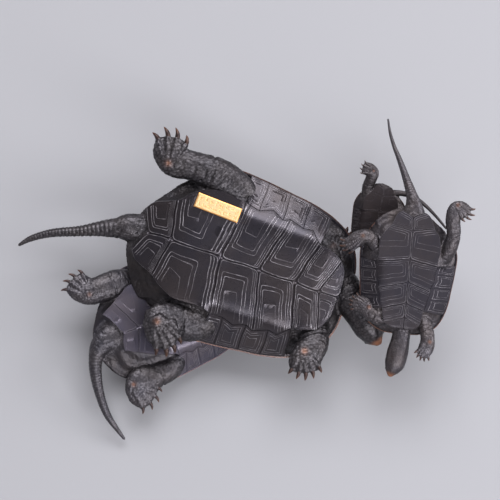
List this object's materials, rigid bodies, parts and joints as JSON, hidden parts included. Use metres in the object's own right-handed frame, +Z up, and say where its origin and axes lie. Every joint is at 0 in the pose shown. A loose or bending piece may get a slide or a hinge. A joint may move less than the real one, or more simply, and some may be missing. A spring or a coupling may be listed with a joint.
{
  "type": "bronze turtle group",
  "caption": "Cast bronze ornament of turtles lying on their backs, bellies up, with an inlaid gold plaque on the largest belly.",
  "frame": {"origin": "middle of the group's footprint, on the surface it rests on", "axes": "+X from the large turtle's tail towards its head, +Y away from the viewer of the bellies, +Z up"},
  "size_m": [0.2804, 0.1858, 0.0798],
  "materials": {
    "large_turtle_bronze": "near-black patina, satin on the shell, with engraved growth lines rubbed lighter and a brown wear line on the rim",
    "rear_turtle_bronze": "near-black patina, smooth belly, matt scaled skin",
    "front_turtle_bronze": "near-black patina with reddish-brown wear at the rim, claws and beak",
    "small_turtle_bronze": "near-black patina, matt, with reddish-brown wear at the rim",
    "gold_inlay": "bright warm gold, softly worn, with shallow marks that are not letters"
  },
  "bodies": {
    "root": {"large_turtle": "large_turtle_bronze", "rear_turtle": "rear_turtle_bronze", "front_turtle": "front_turtle_bronze", "small_turtle": "small_turtle_bronze", "signature_plaque": "gold_inlay"}
  },
  "joints": []
}
